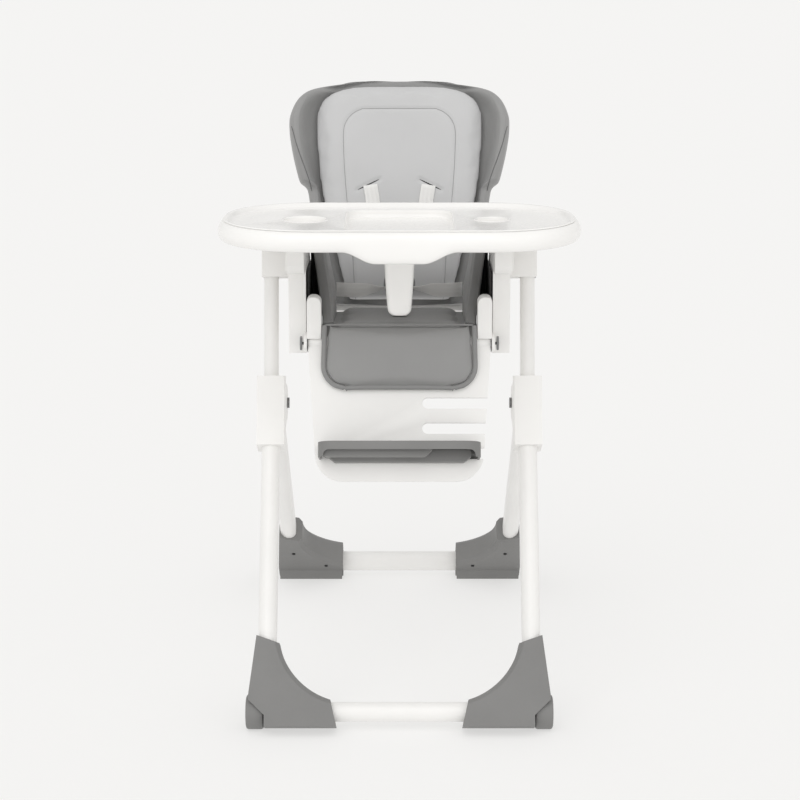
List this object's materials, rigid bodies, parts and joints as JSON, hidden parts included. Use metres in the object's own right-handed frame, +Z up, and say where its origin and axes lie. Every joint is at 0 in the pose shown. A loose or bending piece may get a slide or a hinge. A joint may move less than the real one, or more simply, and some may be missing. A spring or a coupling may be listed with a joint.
{
  "type": "folding baby high chair",
  "caption": "Folding baby high chair with a padded reclining seat, removable tray, harness, adjustable leg rest and footrest, on a slanted tube frame with front wheels.",
  "frame": {"origin": "on the floor, at the middle of the model's width and of its length", "axes": "+X to the right seen from the front, -Y to the front where the child's feet are, +Z up"},
  "size_m": [0.576, 0.885, 1.0063],
  "materials": {
    "frame_tube": "white powder coat, satin",
    "white_plastic": "white moulded plastic, satin",
    "tray_plastic": "white moulded plastic, gloss",
    "grey_plastic": "mid grey moulded plastic, fine grain",
    "button_plastic": "mid grey moulded plastic, fine grain",
    "steel_pin": "plain steel",
    "dark_cover": "soft grey leatherette, fine grain",
    "light_cover": "soft light grey leatherette, fine grain",
    "webbing": "light grey woven webbing"
  },
  "bodies": {
    "front_frame": {"front_leg_left": "frame_tube", "front_leg_right": "frame_tube", "rail_left": "frame_tube", "rail_right": "frame_tube", "front_foot_left": "grey_plastic", "front_foot_right": "grey_plastic", "hub_left": "white_plastic", "hub_right": "white_plastic", "pivot_pin_left": "steel_pin", "pivot_pin_right": "steel_pin", "rail_cap_left": "white_plastic", "rail_cap_right": "white_plastic", "axle_left": "steel_pin", "axle_right": "steel_pin", "front_crossbar": "frame_tube"},
    "wheel_left": {"wheel_left": "grey_plastic"},
    "wheel_right": {"wheel_right": "grey_plastic"},
    "fold_button_left": {"fold_button_left": "button_plastic"},
    "fold_button_right": {"fold_button_right": "button_plastic"},
    "rear_frame": {"rear_leg_left": "frame_tube", "rear_leg_right": "frame_tube", "knuckle_left": "grey_plastic", "knuckle_right": "grey_plastic", "rear_foot_left": "grey_plastic", "rear_foot_right": "grey_plastic", "rear_crossbar": "frame_tube"},
    "seat_carriage": {"slider_left": "white_plastic", "slider_right": "white_plastic", "seat_side_left": "white_plastic", "seat_side_right": "white_plastic", "armrest_left": "white_plastic", "armrest_right": "white_plastic", "front_cheek_left": "white_plastic", "front_cheek_right": "white_plastic", "bolster_left": "dark_cover", "bolster_right": "dark_cover", "waist_strap_left": "webbing", "waist_strap_right": "webbing", "seat_pan": "white_plastic", "seat_cushion": "dark_cover", "buckle": "button_plastic", "crotch_strap": "webbing"},
    "height_button_left": {"height_button_left": "button_plastic"},
    "height_button_right": {"height_button_right": "button_plastic"},
    "backrest": {"back_shell": "white_plastic", "back_cover": "dark_cover", "back_pad": "light_cover", "shoulder_strap_left": "webbing", "shoulder_strap_right": "webbing"},
    "recline_handle": {"recline_handle": "button_plastic"},
    "leg_rest": {"leg_rest_panel": "white_plastic", "front_flap": "dark_cover"},
    "leg_rest_button_left": {"leg_rest_button_left": "button_plastic"},
    "leg_rest_button_right": {"leg_rest_button_right": "button_plastic"},
    "footrest": {"footrest": "grey_plastic"},
    "tray": {"tray_base": "tray_plastic", "crotch_post": "tray_plastic"},
    "tray_lever": {"tray_lever": "button_plastic"},
    "tray_liner": {"tray_liner": "tray_plastic"}
  },
  "joints": [
    {"name": "wheel_spin_left", "type": "hinge", "parent": "front_frame", "child": "wheel_left", "pos_m": [-0.236, -0.38464, 0.028], "axis": [1, 0, 0], "continuous": true},
    {"name": "wheel_spin_right", "type": "hinge", "parent": "front_frame", "child": "wheel_right", "pos_m": [0.236, -0.38464, 0.028], "axis": [1, 0, 0], "continuous": true},
    {"name": "rear_fold", "type": "hinge", "parent": "front_frame", "child": "rear_frame", "pos_m": [0, -0.0925, 0.477], "axis": [-1, 0, 0], "range_deg": [0, 64]},
    {"name": "fold_button_press_left", "type": "slide", "parent": "front_frame", "child": "fold_button_left", "axis": [1, 0, 0], "range_m": [0, 0.0024], "stiffness_N_per_m": 900},
    {"name": "fold_button_press_right", "type": "slide", "parent": "front_frame", "child": "fold_button_right", "axis": [-1, 0, 0], "range_m": [0, 0.0024], "stiffness_N_per_m": 900},
    {"name": "seat_height", "type": "slide", "parent": "front_frame", "child": "seat_carriage", "axis": [0, 0.225, 0.9744], "range_m": [-0.15, 0]},
    {"name": "height_button_press_left", "type": "slide", "parent": "seat_carriage", "child": "height_button_left", "axis": [0, -0.9744, 0.225], "range_m": [0, 0.0024], "stiffness_N_per_m": 900},
    {"name": "height_button_press_right", "type": "slide", "parent": "seat_carriage", "child": "height_button_right", "axis": [0, -0.9744, 0.225], "range_m": [0, 0.0024], "stiffness_N_per_m": 900},
    {"name": "back_recline", "type": "hinge", "parent": "seat_carriage", "child": "backrest", "pos_m": [0, -0.0025, 0.612], "axis": [-1, 0, 0], "range_deg": [0, 35]},
    {"name": "recline_handle_pull", "type": "slide", "parent": "backrest", "child": "recline_handle", "axis": [0, 0.342, 0.9397], "range_m": [0, 0.008], "stiffness_N_per_m": 700},
    {"name": "leg_rest_tilt", "type": "hinge", "parent": "seat_carriage", "child": "leg_rest", "pos_m": [0, -0.2425, 0.612], "axis": [-1, 0, 0], "range_deg": [0, 60]},
    {"name": "leg_rest_button_press_left", "type": "slide", "parent": "seat_carriage", "child": "leg_rest_button_left", "axis": [1, 0, 0], "range_m": [0, 0.0024], "stiffness_N_per_m": 900},
    {"name": "leg_rest_button_press_right", "type": "slide", "parent": "seat_carriage", "child": "leg_rest_button_right", "axis": [-1, 0, 0], "range_m": [0, 0.0024], "stiffness_N_per_m": 900},
    {"name": "footrest_slide", "type": "slide", "parent": "leg_rest", "child": "footrest", "axis": [1, 0, 0], "range_m": [0, 0.115]},
    {"name": "tray_slide", "type": "slide", "parent": "seat_carriage", "child": "tray", "axis": [0, -1, 0], "range_m": [0, 0.12]},
    {"name": "tray_lever_squeeze", "type": "slide", "parent": "tray", "child": "tray_lever", "axis": [0, 0, 1], "range_m": [0, 0.006], "stiffness_N_per_m": 700},
    {"name": "tray_liner_lift", "type": "slide", "parent": "tray", "child": "tray_liner", "axis": [0, 0, 1], "range_m": [0, 0.06]}
  ]
}
